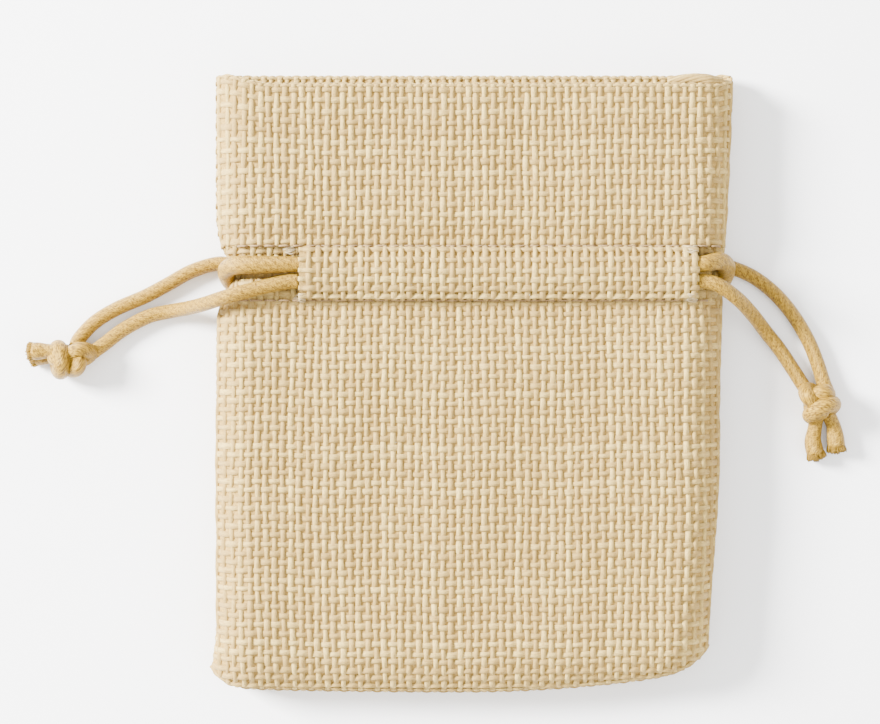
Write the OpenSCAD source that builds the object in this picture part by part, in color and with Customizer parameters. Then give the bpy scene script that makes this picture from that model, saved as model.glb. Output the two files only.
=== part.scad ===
// Drawstring gift pouch lying flat on its back, with a double drawstring.
// +X is to the right, +Y towards the mouth and +Z up, out of the front face.
// The origin is on the table under the middle of the pouch. Units are millimetres.

/* [Pouch] */
// Height of the pouch from its bottom fold to the back rim
pouch_h = 98; // [90:1:110]
// Distance from the middle of the pouch to its left side edge
left_reach = 40.8; // [38:0.2:44]
// Distance from the middle of the pouch to its right side edge above the neck
right_reach = 41.6; // [39:0.2:45]
// Thickness of one layer of cloth
cloth_t = 0.6; // [0.5:0.05:0.6]

/* [Casing] */
// Height of the casing's middle above the table origin, towards the mouth
casing_y = 17.2; // [14:0.2:20]
// Distance between the two rows of stitching
casing_h = 8.6; // [8:0.2:10]
// Left front mouth of the casing, measured from the middle
left_mouth = 27.3; // [24:0.1:30]
// Right front mouth and both back mouths of the casing
side_mouth = 35.5; // [34:0.1:36.5]
// Clear depth of the casing for the cords
tunnel_gap = 2.6; // [2.5:0.05:2.8]

/* [Cords] */
// Diameter of the satin cord
cord_d = 2.3; // [2:0.05:2.3]
// Diameter of the left knot
left_knot_d = 6; // [5.4:0.1:6.6]
// Diameter of the right knot
right_knot_d = 6.6; // [5.8:0.1:7]

/* [Sewing] */
// Length of one stitch and the gap after it
stitch_pitch = 2.2; // [2:0.1:2.6]
// Width of the sewing thread
thread_w = 0.5; // [0.4:0.05:0.6]

/* [Hidden] */

linen = [0.83, 0.76, 0.63];
lining = [0.78, 0.70, 0.56];
thread = [0.90, 0.86, 0.78];
satin = [0.86, 0.66, 0.25];

// Heights of the main lines across the pouch
foot_y = -pouch_h / 2;
back_rim_y = pouch_h / 2;
front_rim_y = back_rim_y - 2;
lower_stitch_y = casing_y - casing_h / 2;
upper_stitch_y = casing_y + casing_h / 2;
hem_y = lower_stitch_y - 2.2;

// Levels above the table, at the pouch's middle and along its side edges
back_cloth_z = cloth_t;
facing_top_z = 8.8;
body_top_z = 10;
seam_low_z = 4.1;
seam_high_z = 5.0;
front_edge_z = 5.3;
back_edge_z = 3.1;
seam_gap = 0.3;
seam_w = 4.2;
overlock_w = 1;
seam_foot_y = foot_y + 10;

// Share of the half width over which the pouch is flat on top
flat_share = 0.72;
casing_flat_share = 0.18;
// Length over which the pouch rounds down to its bottom fold
foot_round = 18;

// Cord levels inside the casing, and the two lanes that the cords run in
front_run_z = facing_top_z + tunnel_gap / 2;
back_run_z = back_cloth_z + tunnel_gap / 2;
lane = 1.35;
low_lane = casing_y - lane;
high_lane = casing_y + lane;
// The arch of the casing is full over both lanes and falls to its stitches over this width
arch_fall = 1.5;
table_z = cord_d / 2;
// The runs and the bights stop this far from the middle, where the cords cross
run_gap = 3;

// Columns across a cloth, and rows along it
columns = [-1, -0.97, -0.93, -0.88, -0.83, -0.78, -0.72, -0.36, 0,
           0.36, 0.72, 0.78, 0.83, 0.88, 0.93, 0.97, 1];
body_rows = [0, 0.03, 0.07, 0.12, 0.18, 0.26, 0.36, 0.5, 0.66, 0.8, 0.92, 1];
arch_rows = [-1, -0.88, -0.77, -0.65, 0, 0.65, 0.77, 0.88, 1];
header_rows = [0, 0.1, 0.3, 0.6, 1];

function lerp(a, b, t) = a + (b - a) * t;
function clamp01(t) = min(max(t, 0), 1);
function ease(t) = let (s = clamp01(t)) s * s * (3 - 2 * s);
function bump(t, middle, width) = exp(-pow((t - middle) / width, 2));

// Outline: side edges as x at a height y, and the bottom edge as y at a share u of the half width
function left_x(y) = -left_reach + 2 * bump(y, casing_y, 5) - 0.8 * bump(y, foot_y + 2, 5);
function right_x(y) = right_reach - 4 + 1.8 * ease((y - foot_y - 4) / 35) + 2.2 * ease((y + 5) / 60);
function edge_x(u, y) = lerp(left_x(y), right_x(y), (u + 1) / 2);
function share_at(x) =
    let (low = left_x(casing_y), high = right_x(casing_y)) (2 * x - low - high) / (high - low);
function bottom_y(u) = foot_y + (u < 0 ? 0.6 * u * u + 2.8 * pow(u, 20) : 3.4 * u * u + 3.5 * pow(u, 14));

// How far the casing stands open at a height y: 1 over the cords and 0 at its stitches
function arch(y) = ease((casing_h / 2 - abs(y - casing_y)) / arch_fall);
// How far a cloth has come from its level at the side edge to its level in the middle
function spread(u, y) =
    let (flat = flat_share + casing_flat_share * arch(y))
    (1 - ease((abs(u) - flat) / (1 - flat)));
function rise(u, y) = sin(90 * clamp01((y - bottom_y(u)) / foot_round));
function level(u, y, edge, middle) = lerp(edge, middle, spread(u, y) * rise(u, y));

// Inner faces of the outer cloth and of the facing
function front_panel_z(u, y) =
    level(u, y, front_edge_z + cloth_t * ease((y - 2) / 7),
          lerp(body_top_z, facing_top_z, ease((y + 2) / (lower_stitch_y + 2))));
function back_panel_z(u, y) = level(u, y, back_edge_z - cloth_t * ease((y - 2) / 7), back_cloth_z);
function front_facing_z(u, y) = level(u, y, front_edge_z, facing_top_z - cloth_t);
function back_facing_z(u, y) =
    level(u, y, lerp(back_edge_z, back_cloth_z + tunnel_gap + cloth_t, arch(y)),
          back_cloth_z + cloth_t + tunnel_gap * arch(y));

// Inner face of the casing's outer cloth, which stays level over the cords as far as the mouths
function front_casing_z(u, y) =
    max(front_facing_z(u, y) + cloth_t, facing_top_z * arch(y)) + tunnel_gap * arch(y);

// A closed cloth on a grid: one column for each share in us, rows from y0(u) to y1(u)
module cloth(us, rows, y0, y1, low, high) {
    n = len(us);
    m = len(rows);
    function at(i, j, z) =
        let (u = us[i], y = lerp(y0(u), y1(u), rows[j])) [edge_x(u, y), y, z(u, y)];
    points = concat([for (j = [0:m - 1], i = [0:n - 1]) at(i, j, low)],
                    [for (j = [0:m - 1], i = [0:n - 1]) at(i, j, high)]);
    function id(i, j, top) = top * n * m + j * n + i;
    function pair(a, b, c, d) = [[a, b, c], [a, c, d]];
    skins = [for (j = [0:m - 2], i = [0:n - 2])
        each concat(pair(id(i, j, 1), id(i, j + 1, 1), id(i + 1, j + 1, 1), id(i + 1, j, 1)),
                    pair(id(i, j, 0), id(i + 1, j, 0), id(i + 1, j + 1, 0), id(i, j + 1, 0)))];
    ends = [for (i = [0:n - 2])
        each concat(pair(id(i, 0, 0), id(i, 0, 1), id(i + 1, 0, 1), id(i + 1, 0, 0)),
                    pair(id(i, m - 1, 0), id(i + 1, m - 1, 0), id(i + 1, m - 1, 1), id(i, m - 1, 1)))];
    sides = [for (j = [0:m - 2])
        each concat(pair(id(0, j + 1, 0), id(0, j + 1, 1), id(0, j, 1), id(0, j, 0)),
                    pair(id(n - 1, j + 1, 0), id(n - 1, j, 0), id(n - 1, j, 1), id(n - 1, j + 1, 1)))];
    polyhedron(points, concat(skins, ends, sides));
}

// A strip of cloth folded in along a side edge, seam_low_z to seam_high_z
module edge_strip(side, from_edge, width, y_low, y_high) {
    count = 12;
    ys = [for (k = [0:count]) lerp(y_low, y_high, k / count)];
    function outer(y) = side < 0 ? left_x(y) + from_edge : right_x(y) - from_edge;
    outline = concat([for (y = ys) [outer(y), y]],
                     [for (k = [0:count]) [outer(ys[count - k]) - side * width, ys[count - k]]]);
    translate([0, 0, seam_low_z]) linear_extrude(seam_high_z - seam_low_z) polygon(outline);
}

// A row of stitches lying on a surface z(u, y)
module stitch_row(y, z) {
    length = stitch_pitch * 0.7;
    for (x = [left_x(y) + 2:stitch_pitch:right_x(y) - 4])
        translate([x, y - thread_w / 2, z(share_at(x + length / 2), y)])
            cube([length, thread_w, thread_w * 0.6]);
}

// Tube along a route, with its rings turned as little as possible from one to the next
function unit(v) = v / norm(v);
function along(route, i) = unit(route[min(i + 1, len(route) - 1)] - route[max(i - 1, 0)]);
function sideways(route, i) =
    i == 0
    ? unit(cross(along(route, 0), abs(along(route, 0).z) < 0.9 ? [0, 0, 1] : [0, 1, 0]))
    : let (before = sideways(route, i - 1), t = along(route, i)) unit(before - (before * t) * t);
module tube(route, d) {
    sides = 8;
    n = len(route);
    rings = [for (i = [0:n - 1])
        let (a = sideways(route, i), b = cross(along(route, i), a))
        each [for (k = [0:sides - 1]) route[i] + d / 2 * (cos(45 * k) * a + sin(45 * k) * b)]];
    walls = [for (i = [0:n - 2], k = [0:sides - 1])
        let (p = i * sides + k, q = i * sides + (k + 1) % sides)
        each [[p, p + sides, q + sides], [p, q + sides, q]]];
    caps = [[for (k = [0:sides - 1]) k], [for (k = [0:sides - 1]) n * sides - 1 - k]];
    polyhedron(rings, concat(walls, caps));
}

// Routes of the left cord, which leaves at the left and wraps the right edge
left_front_route = [
    [-left_mouth, low_lane, front_run_z], [-28.6, low_lane, front_run_z], [-31, 15.4, 10.3],
    [-34, 14.7, 10.3], [-38.5, 13.5, 10.2], [-42.3, 12.4, 7.6], [-45.4, 11.8, 3.8], [-48.6, 11.3, 1.5],
    [-52, 10.5, table_z], [-56, 8.4, table_z], [-59, 6.1, 1.3], [-61, 4.6, 1.7]
];
left_back_route = [
    [-side_mouth, high_lane, back_run_z], [-36.7, high_lane, back_run_z], [-38.6, 18.8, 1.7],
    [-41, 19, 1.2], [-45, 17.8, table_z], [-49, 15.6, table_z], [-52.6, 13.7, table_z],
    [-57, 11.8, table_z], [-60.6, 9.6, table_z], [-63, 7, 1.5], [-63.5, 5.7, 2.1]
];
left_bight_route = [
    [run_gap, high_lane, front_run_z], [side_mouth, high_lane, front_run_z], [37.6, 18.9, 10],
    [40.3, 19.4, 8.4], [42.2, 18.6, 6.2], [42.4, 17.2, 4.2], [41.8, 16, 2.4], [40.2, 15.7, 1.3],
    [38, 15.7, 1.5], [side_mouth, low_lane, back_run_z], [run_gap, low_lane, back_run_z]
];
left_knot_lobes = [[-65.4, 4, left_knot_d / 2], [-62.9, 3.5, left_knot_d / 2]];
left_tail_routes = [[[-67.2, 4.2, 1.9], [-68.8, 4.1, 1.25], [-70.6, 4.1, 1.2]],
                    [[-67.2, 4.9, 4.2], [-68.9, 4.95, 3.75], [-70.8, 4.9, 3.6]]];

// Routes of the right cord, which leaves at the right and wraps the left edge
right_front_route = [
    [side_mouth, low_lane, front_run_z], [36.7, low_lane, front_run_z], [38.8, 15.2, front_run_z],
    [41.8, 13.2, 8.6], [44.6, 10.8, 5], [47, 8.2, 2.2], [49.5, 5.2, 1.2], [51.7, 1.9, table_z],
    [53.4, -0.8, 1.4], [54.4, -2.1, 1.9]
];
right_back_route = [
    [side_mouth, high_lane, back_run_z], [36.7, high_lane, back_run_z], [38.6, 18.7, 1.7],
    [41, 18.6, 1.2], [45, 17, table_z], [48.6, 14.3, table_z], [51.6, 10.8, table_z],
    [54, 6.8, table_z], [55.5, 3.2, table_z], [56.5, 0, 1.4], [57, -1.4, 1.9]
];
right_bight_route = [
    [-run_gap, high_lane, front_run_z], [-left_mouth, high_lane, front_run_z], [-35, 18.5, front_run_z],
    [-38.6, 18.5, 8.6], [-40.7, 17.9, 6.2], [-40.9, 16.8, 4.2], [-40.3, 15.9, 2.4], [-38.6, 15.6, 1.3],
    [-36.8, 15.6, 1.5], [-side_mouth, low_lane, back_run_z], [-run_gap, low_lane, back_run_z]
];
right_knot_lobes = [[55.3, -3.1, right_knot_d / 2]];
right_tail_routes = [[[55.3, -5.6, 1.8], [54.9, -8.8, 1.3], [55.6, -12.3, 1.2]],
                     [[57.2, -5.1, 2], [58.6, -7.8, 1.3], [58.6, -11, 1.2]]];

module front_panel() {
    color(linen)
        cloth(columns, body_rows, function (u) bottom_y(u), function (u) lower_stitch_y,
              function (u, y) front_panel_z(u, y), function (u, y) front_panel_z(u, y) + cloth_t);
}

module back_panel() {
    color(linen)
        cloth(columns, body_rows, function (u) bottom_y(u), function (u) lower_stitch_y,
              function (u, y) back_panel_z(u, y) - cloth_t, function (u, y) back_panel_z(u, y));
}

module bottom_fold() {
    depth = 1;
    color(linen)
        cloth(columns, [0, 1], function (u) bottom_y(u), function (u) bottom_y(u) + depth,
              function (u, y) back_edge_z, function (u, y) front_edge_z);
}

// Outer cloth of the casing, which arches over the cords between its front mouths
module front_casing() {
    shares = [for (u = columns) lerp(share_at(-left_mouth), share_at(side_mouth), (u + 1) / 2)];
    color(linen)
        cloth(shares, [for (r = arch_rows) (r + 1) / 2],
              function (u) lower_stitch_y, function (u) upper_stitch_y,
              function (u, y) front_casing_z(u, y), function (u, y) front_casing_z(u, y) + cloth_t);
}

module back_casing() {
    color(linen)
        translate([-side_mouth, lower_stitch_y, 0]) cube([2 * side_mouth, casing_h, cloth_t]);
}

module front_header() {
    color(linen)
        cloth(columns, header_rows, function (u) upper_stitch_y, function (u) front_rim_y,
              function (u, y) front_facing_z(u, y) + cloth_t,
              function (u, y) front_facing_z(u, y) + 2 * cloth_t);
}

module back_header() {
    color(linen)
        cloth(columns, header_rows, function (u) upper_stitch_y, function (u) back_rim_y,
              function (u, y) back_facing_z(u, y) - 2 * cloth_t,
              function (u, y) back_facing_z(u, y) - cloth_t);
}

facing_rows = concat([hem_y], [for (r = arch_rows) casing_y + r * casing_h / 2]);
function facing_shares(rim) =
    [for (y = concat(facing_rows, [for (r = [0.1, 0.3, 0.6, 1]) lerp(upper_stitch_y, rim, r)]))
        (y - hem_y) / (rim - hem_y)];

module front_facing() {
    color(lining)
        cloth(columns, facing_shares(front_rim_y), function (u) hem_y, function (u) front_rim_y,
              function (u, y) front_facing_z(u, y), function (u, y) front_facing_z(u, y) + cloth_t);
}

module back_facing() {
    color(lining)
        cloth(columns, facing_shares(back_rim_y), function (u) hem_y, function (u) back_rim_y,
              function (u, y) back_facing_z(u, y) - cloth_t, function (u, y) back_facing_z(u, y));
}

module side_seam(side) {
    color(lining) edge_strip(side, seam_gap, seam_w, seam_foot_y, upper_stitch_y - 1);
}

module overlock(side) {
    color(thread) edge_strip(side, seam_gap + seam_w, overlock_w, seam_foot_y, upper_stitch_y - 1);
}

module header_seam(side) {
    color(lining) edge_strip(side, seam_gap, seam_w + overlock_w, upper_stitch_y + 1, front_rim_y - 0.5);
}

module front_stitching(y) {
    color(thread)
        stitch_row(y, function (u, y) front_facing_z(u, y) + 2 * cloth_t);
}

module back_stitching(y) {
    color(thread) stitch_row(y, function (u, y) back_facing_z(u, y));
}

// Bar tacks beside a front mouth, one at each row of stitches
module bar_tacks(x) {
    tack = [2.4, 0.9, 0.4];
    inset = 1.1;
    u = share_at(x);
    panel_y = lower_stitch_y - inset;
    header_y = upper_stitch_y + inset;
    levels = [[panel_y, front_panel_z(u, panel_y) + cloth_t],
              [header_y, front_facing_z(u, header_y) + 2 * cloth_t]];
    color(thread)
        for (place = levels)
            translate([x - tack.x / 2, place[0] - tack.y / 2, place[1]]) cube(tack);
}

module cord(route) {
    color(satin) tube(route, cord_d);
}

module cord_run(x_out, lane_y, z) {
    color(satin) tube([[x_out, lane_y, z], [sign(x_out) * run_gap, lane_y, z]], cord_d);
}

module knot(lobes, d) {
    color(satin) for (at = lobes) translate(at) sphere(d = d, $fn = 32);
}

module tails(routes) {
    for (route = routes) cord(route);
}

front_panel();
back_panel();
bottom_fold();
front_casing();
back_casing();
front_header();
back_header();
front_facing();
back_facing();
side_seam(-1);  // left_side_seam
side_seam(1);  // right_side_seam
overlock(-1);  // left_overlock
overlock(1);  // right_overlock
header_seam(-1);  // left_header_seam
header_seam(1);  // right_header_seam
front_stitching(upper_stitch_y);  // front_upper_stitching
front_stitching(lower_stitch_y);  // front_lower_stitching
back_stitching(upper_stitch_y);  // back_upper_stitching
back_stitching(lower_stitch_y);  // back_lower_stitching
bar_tacks(-left_mouth - 1.4);  // left_bar_tacks
bar_tacks(side_mouth - 1);  // right_bar_tacks
cord_run(-left_mouth, low_lane, front_run_z);  // left_cord_front_run
cord_run(-side_mouth, high_lane, back_run_z);  // left_cord_back_run
cord(left_bight_route);  // left_cord_bight
cord(left_front_route);  // left_cord_front_strand
cord(left_back_route);  // left_cord_back_strand
knot(left_knot_lobes, left_knot_d);  // left_cord_knot
tails(left_tail_routes);  // left_cord_tails
cord_run(side_mouth, low_lane, front_run_z);  // right_cord_front_run
cord_run(side_mouth, high_lane, back_run_z);  // right_cord_back_run
cord(right_bight_route);  // right_cord_bight
cord(right_front_route);  // right_cord_front_strand
cord(right_back_route);  // right_cord_back_strand
knot(right_knot_lobes, right_knot_d);  // right_cord_knot
tails(right_tail_routes);  // right_cord_tails
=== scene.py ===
import math

import bmesh
import bpy
import numpy as np
from bpy.props import FloatProperty, FloatVectorProperty, PointerProperty
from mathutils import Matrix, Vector


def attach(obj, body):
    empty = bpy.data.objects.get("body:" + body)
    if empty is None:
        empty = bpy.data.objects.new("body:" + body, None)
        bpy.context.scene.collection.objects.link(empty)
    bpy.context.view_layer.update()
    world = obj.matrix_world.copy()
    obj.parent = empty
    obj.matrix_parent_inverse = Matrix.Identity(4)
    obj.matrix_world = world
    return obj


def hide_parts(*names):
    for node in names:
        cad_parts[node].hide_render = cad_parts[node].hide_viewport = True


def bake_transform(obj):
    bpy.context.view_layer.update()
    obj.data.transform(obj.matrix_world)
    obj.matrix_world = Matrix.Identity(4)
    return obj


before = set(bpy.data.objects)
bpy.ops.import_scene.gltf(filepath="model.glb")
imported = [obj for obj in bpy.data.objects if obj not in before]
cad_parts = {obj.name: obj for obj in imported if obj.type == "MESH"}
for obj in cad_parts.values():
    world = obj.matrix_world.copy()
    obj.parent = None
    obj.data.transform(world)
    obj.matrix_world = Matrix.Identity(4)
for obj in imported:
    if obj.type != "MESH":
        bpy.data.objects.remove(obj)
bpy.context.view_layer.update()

bl_info = {
    "name": "Drawstring Gift Pouch",
    "version": (1, 0, 0),
    "blender": (4, 5, 0),
    "location": "View3D > Sidebar > Pouch",
    "description": "Builds a woven drawstring gift pouch around its packed frame",
    "category": "Object",
}

MM = 0.001

# Outline and heights of the pouch, in millimetres, as its design has them
FOOT_Y = -49.0
RIM_Y = 47.0
BACK_RIM_Y = 49.0
LEFT_REACH = 40.8
RIGHT_REACH = 41.6
CASING_Y = 17.2
LOWER_STITCH_Y = 12.9
UPPER_STITCH_Y = 21.5
LEFT_MOUTH = 27.3
RIGHT_MOUTH = 35.5
CRIMP = 0.19
WARP_RISE = 0.00014
WEFT_RISE = 0.00015
GROUND_THICKNESS = 0.00008
GROUND_INSET = 0.12
EDGE_ROOM = 0.35
FACE_ORDER = Vector((1.0, 0.6180339, 0.1415926))
FOOT_SQUEEZE = 0.985

# Routes of the cords, in millimetres: a free strand starts at its mouth and ends in its knot
ROUTES = {
    "left_cord_front_strand": [
        (-27.3, 15.85, 10.1), (-28.6, 15.85, 10.1), (-31, 15.4, 10.3), (-34, 14.7, 10.3),
        (-38.5, 13.5, 10.2), (-42.3, 12.4, 7.6), (-45.4, 11.8, 3.8), (-48.6, 11.3, 1.5),
        (-52, 10.5, 1.15), (-56, 8.4, 1.15), (-59, 6.1, 1.3), (-61, 4.6, 1.7),
    ],
    "left_cord_back_strand": [
        (-35.5, 18.55, 1.9), (-36.7, 18.55, 1.9), (-38.6, 18.8, 1.7), (-41, 19, 1.2),
        (-45, 17.8, 1.15), (-49, 15.6, 1.15), (-52.6, 13.7, 1.15), (-57, 11.8, 1.15),
        (-60.6, 9.6, 1.15), (-63, 7, 1.5), (-63.5, 5.7, 2.1),
    ],
    "right_cord_front_strand": [
        (35.5, 15.85, 10.1), (36.7, 15.85, 10.1), (38.8, 15.2, 10.1), (41.8, 13.2, 8.6),
        (44.6, 10.8, 5), (47, 8.2, 2.2), (49.5, 5.2, 1.2), (51.7, 1.9, 1.15),
        (53.4, -0.8, 1.4), (54.4, -2.1, 1.9), (54.9, -2.8, 2.3),
    ],
    "right_cord_back_strand": [
        (35.5, 18.55, 1.9), (36.7, 18.55, 1.9), (38.6, 18.7, 1.7), (41, 18.6, 1.2),
        (45, 17, 1.15), (48.6, 14.3, 1.15), (51.6, 10.8, 1.15), (54, 6.8, 1.15),
        (55.5, 3.2, 1.15), (56.5, 0, 1.4), (57, -1.4, 1.9),
    ],
}
# Each cord's loop through the casing: its own front lane, the crossing, round the far edge, and back
LOOPS = {
    "left_cord_loop": [
        (-27.3, 15.85, 10.1), (-23, 15.85, 9.2), (-17, 15.85, 8.4), (4, 17.6, 8.3), (16, 18.5, 8.3),
        (30, 18.55, 9.2), (35.5, 18.55, 10.1), (37.2, 18.8, 9.9), (39.2, 19.1, 8.4),
        (40.3, 18.4, 6.2), (40.4, 17.2, 4.2), (39.9, 16, 2.4), (38.9, 15.7, 1.4), (37.6, 15.7, 1.5),
        (35.5, 15.85, 1.9), (22, 15.85, 1.9), (6, 15.9, 1.9), (-10, 18.4, 1.9), (-24, 18.55, 1.9),
        (-35.5, 18.55, 1.9),
    ],
    "right_cord_loop": [
        (35.5, 15.85, 10.1), (30, 15.85, 9.2), (22, 15.85, 8.4), (4, 15.7, 8.3), (-8, 18.5, 8.3),
        (-21, 18.55, 9.0), (-27.3, 18.55, 10.1), (-35, 18.5, 10.0), (-37.6, 18.4, 8.4),
        (-38.9, 17.8, 6.2), (-39.0, 16.8, 4.2), (-38.6, 15.9, 2.4), (-37.9, 15.6, 1.4),
        (-36.8, 15.6, 1.5), (-35.5, 15.85, 1.9), (-22, 15.85, 1.9), (-10, 15.8, 1.9),
        (6, 18.4, 1.9), (22, 18.55, 1.9), (35.5, 18.55, 1.9),
    ],
}
# Each knot: its middle, its half-length, half-width and half-height, and its heading in degrees
KNOTS = {"left_cord": ((-64.2, 3.75, 3.0), (4.3, 3.1, 1.55), 6.0),
         "right_cord": ((55.3, -3.1, 3.2), (3.5, 3.2, 1.65), 116.0)}
TAILS = {
    "left_cord": [[(-66.2, 4.2, 2.2), (-67.6, 4.15, 1.5), (-69, 4.1, 1.4), (-70.3, 4.0, 1.4)],
                  [(-66.2, 4.9, 4.2), (-67.8, 4.95, 3.9), (-69.2, 4.95, 3.8), (-70.4, 4.9, 3.7)]],
    "right_cord": [[(55.3, -5.2, 2.2), (55.1, -7.4, 1.5), (54.8, -9.6, 1.45), (55.3, -11.9, 1.5)],
                   [(57.0, -4.9, 2.2), (58.0, -6.8, 1.5), (58.4, -8.8, 1.45), (58.6, -10.7, 1.5)]],
}


class PouchCloth(bpy.types.PropertyGroup):
    """Weave and colours of the cloth"""
    warp_pitch: FloatProperty(
        name="Warp pitch", description="Distance between upright yarns", default=0.00133,
        unit="LENGTH")
    weft_pitch: FloatProperty(
        name="Weft pitch", description="Distance between cross yarns", default=0.0014,
        unit="LENGTH")
    warp_width: FloatProperty(
        name="Warp width", description="Width of an upright yarn", default=0.00092,
        unit="LENGTH")
    weft_width: FloatProperty(
        name="Weft width", description="Width of a cross yarn", default=0.00096, unit="LENGTH")
    pale: FloatVectorProperty(
        name="Pale yarn", description="Lightest yarn colour", subtype="COLOR",
        default=(0.56, 0.405, 0.125))
    golden: FloatVectorProperty(
        name="Golden fibre", description="Darker golden fibre colour", subtype="COLOR",
        default=(0.20, 0.105, 0.02))
    # Colour of the sheet under the yarns: fibre fuzz, darkened as painted shade in the gaps between
    # the yarns
    shaded_ground: FloatVectorProperty(
        name="Ground", description="Colour between the yarns", subtype="COLOR",
        default=(0.34, 0.215, 0.06))


class PouchCord(bpy.types.PropertyGroup):
    """Size and colours of the cords"""
    diameter: FloatProperty(
        name="Cord diameter", description="Thickness of a drawcord", default=0.0023,
        unit="LENGTH")
    sheen_colour: FloatVectorProperty(
        name="Satin", description="Light satin colour", subtype="COLOR",
        default=(0.40, 0.235, 0.024))
    # The satin shade is painted shade in the hollows between the filaments
    painted_hollow_shade: FloatVectorProperty(
        name="Satin shade", description="Colour between the filaments", subtype="COLOR",
        default=(0.085, 0.04, 0.004))


class PouchStage(bpy.types.PropertyGroup):
    """Floor, lights and camera"""
    frame_width: FloatProperty(
        name="Framed width", description="Width that the camera frames", default=0.139,
        unit="LENGTH")
    lens: FloatProperty(
        name="Lens", description="Focal length in millimetres", default=100.0)
    centre: FloatVectorProperty(
        name="Framed centre", description="Point that the camera looks straight down at",
        subtype="TRANSLATION", default=(-0.0051, 0.0032, 0.0))


# ---- shape of the pouch

def bump(t, middle, width):
    return np.exp(-((t - middle) / width) ** 2)


def ease(t):
    t = np.clip(t, 0.0, 1.0)
    return t * t * (3 - 2 * t)


def left_x(y):
    squeezed = 2 * bump(y, CASING_Y, 5) + 1.2 * bump(y, CASING_Y, 2.4)
    return -LEFT_REACH + squeezed - 0.8 * bump(y, FOOT_Y + 2, 5)


def right_x(y):
    swell = 1.8 * ease((y - FOOT_Y - 4) / 35) + 2.2 * ease((y + 5) / 60)
    return RIGHT_REACH - 4 + swell - 0.9 * bump(y, CASING_Y, 2.6)


def bottom_y(u):
    left = 0.6 * u * u + 2.8 * np.power(np.abs(u), 20)
    right = 3.4 * u * u + 3.5 * np.power(np.abs(u), 14)
    return FOOT_Y + np.where(u < 0, left, right)


def share(x, y):
    low, high = left_x(y), right_x(y)
    return (2 * x - low - high) / (high - low)


def pillow(distance, radius):
    t = np.clip(distance / radius, 0.0, 1.0)
    return np.sqrt(np.clip(1 - (1 - t) ** 2, 0.0, 1.0))


def edge_height(y):
    return 2.6 + 0.4 * ease((y + 45) / 30) + 0.6 * bump(y, CASING_Y, 10) + 0.2 * ease((y - 20) / 20)


def front_height(x, y):
    """Middle surface of the front cloth, in millimetres above the floor"""
    side = np.minimum(x - left_x(y), right_x(y) - x)
    foot = y - bottom_y(np.clip(share(x, y), -1, 1))
    crown = 9.6 - 0.9 * bump(y, LOWER_STITCH_Y - 1, 6) - 1.0 * bump(y, UPPER_STITCH_Y + 0.5, 3.2)
    crown = crown + 0.55 * bump(y, CASING_Y, 3.4) - 0.7 * ease((y - 24) / 12)
    wave = 0.22 * np.sin(0.21 * x + 0.06 * y) * np.cos(0.17 * y - 0.05 * x)
    rise = pillow(side, 6.5) * (0.35 + 0.65 * pillow(foot, 10.0))
    return edge_height(y) + (crown + wave - edge_height(y)) * rise


def casing_height(x, y):
    """The casing swells over the cords, and most of all at its two mouths"""
    near = bump(x, -LEFT_MOUTH, 5) + bump(x, RIGHT_MOUTH, 5)
    return front_height(x, y) + (1.5 + 0.5 * near) * pillow(
        np.minimum(y - LOWER_STITCH_Y, UPPER_STITCH_Y - y), 3.2)


def zone_height(x, y):
    """The cloth beside a mouth lies under the cords"""
    return front_height(x, y) - 2.6 * bump(y, CASING_Y, 3.2)


def tack_ground(x, y):
    """What a bar tack lies on: the casing inside its mouth, the side cloth outside"""
    inside = (x > -LEFT_MOUTH) & (x < RIGHT_MOUTH)
    return np.where(inside, casing_height(x, y), zone_height(x, y))


def back_height(x, y):
    side = np.minimum(x - left_x(y), right_x(y) - x)
    foot = y - bottom_y(np.clip(share(x, y), -1, 1))
    return edge_height(y) * (1 - pillow(side, 6.5) * (0.3 + 0.7 * pillow(foot, 9.0))) + 0.38


# ---- tubes

def catmull(points, step):
    """A smooth line through the points, at even steps"""
    p = np.array(points, float)
    p = np.vstack([2 * p[0] - p[1], p, 2 * p[-1] - p[-2]])
    out = []
    for a, b, c, d in zip(p[:-3], p[1:-2], p[2:-1], p[3:]):
        t = np.linspace(0, 1, 24, endpoint=False)[:, None]
        out.append(0.5 * (2 * b + (c - a) * t + (2 * a - 5 * b + 4 * c - d) * t ** 2
                          + (3 * b - a - 3 * c + d) * t ** 3))
    line = np.vstack(out + [p[-2:-1]])
    run = np.concatenate([[0], np.cumsum(np.linalg.norm(np.diff(line, axis=0), axis=1))])
    count = max(4, int(round(run[-1] / step)) + 1)
    even = np.linspace(0, run[-1], count)
    return np.stack([np.interp(even, run, line[:, k]) for k in range(3)], 1), run[-1]


def tube_template(stations, sides):
    """A straight tube as a bmesh, each point with its ring and spoke"""
    bm = bmesh.new()
    bmesh.ops.create_cone(bm, cap_ends=True, cap_tris=False, segments=sides,
                          radius1=1, radius2=1, depth=1)
    uprights = [e for e in bm.edges if abs(e.verts[0].co.z - e.verts[1].co.z) > 0.5]
    bmesh.ops.subdivide_edges(bm, edges=uprights, cuts=stations - 2)
    bm.verts.ensure_lookup_table()
    co = np.array([v.co[:] for v in bm.verts])
    ring = np.rint((co[:, 2] + 0.5) * (stations - 1)).astype(int)
    spoke = np.rint(np.arctan2(co[:, 0], co[:, 1]) / (2 * math.pi / sides)).astype(int) % sides
    mesh = bpy.data.meshes.new("tube_template")
    bm.to_mesh(mesh)
    bm.free()
    return mesh, ring, spoke


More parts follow.
